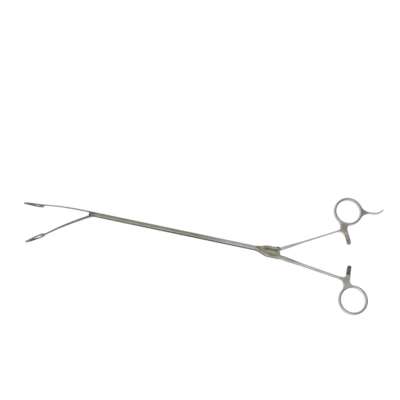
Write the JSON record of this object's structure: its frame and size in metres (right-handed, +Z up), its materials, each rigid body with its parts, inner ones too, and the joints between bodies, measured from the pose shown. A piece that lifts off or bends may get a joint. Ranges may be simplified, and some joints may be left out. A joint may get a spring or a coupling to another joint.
{
  "type": "toothed dissecting forceps",
  "caption": "Long ring-handled sliding-shaft forceps; one handle draws a rod along the shaft and swings a fenestrated toothed jaw shut, held by ratchet bars.",
  "frame": {"origin": "on the joint body's flat underside, straight below the shaft's axis, 5 mm ahead of the handle pivot; the instrument lies on its side with this face down", "axes": "+X along the shaft from the jaws towards the finger rings, +Y towards the moving handle, +Z up, parallel to the pivots"},
  "size_m": [0.3516, 0.1142, 0.01],
  "materials": {
    "satin_steel": "satin, brushed along the shaft",
    "forged_steel": "satin, bead-blasted and lightly brushed",
    "jaw_steel": "satin, ground teeth",
    "pin_steel": "turned, dressed flush"
  },
  "bodies": {
    "frame": {"joint_body": "forged_steel", "fixed_rail": "satin_steel", "rail_rivets": "pin_steel", "fixed_jaw": "jaw_steel", "jaw_pivot_pin": "pin_steel", "handle_pivot_screw": "pin_steel", "fixed_arm": "forged_steel", "fixed_ring": "forged_steel", "fixed_ratchet": "forged_steel"},
    "handle": {"moving_arm": "forged_steel", "moving_ring": "forged_steel", "moving_ratchet": "forged_steel", "finger_spur": "forged_steel"},
    "slider": {"slider_rod": "satin_steel", "slider_yoke": "forged_steel", "jaw_drive_pin": "pin_steel", "handle_drive_pin": "pin_steel"},
    "jaw": {"moving_jaw": "jaw_steel"}
  },
  "joints": [
    {"name": "handle_swing", "type": "hinge", "parent": "frame", "child": "handle", "pos_m": [0.005, -0.00095, 0.005], "axis": [0, 0, 1], "range_deg": [-24, 0]},
    {"name": "rod_slide", "type": "slide", "parent": "frame", "child": "slider", "axis": [1, 0, 0], "range_m": [0, 0.00166]},
    {"name": "jaw_swing", "type": "hinge", "parent": "frame", "child": "jaw", "pos_m": [-0.1815, -0.0015, 0.005], "axis": [0, 0, 1], "range_deg": [-32.01, 0]}
  ],
  "couplings": [
    {"joint": "rod_slide", "follows": "handle_swing", "m_per_rad": -0.0039567},
    {"joint": "jaw_swing", "follows": "handle_swing", "ratio": 1.3333}
  ]
}
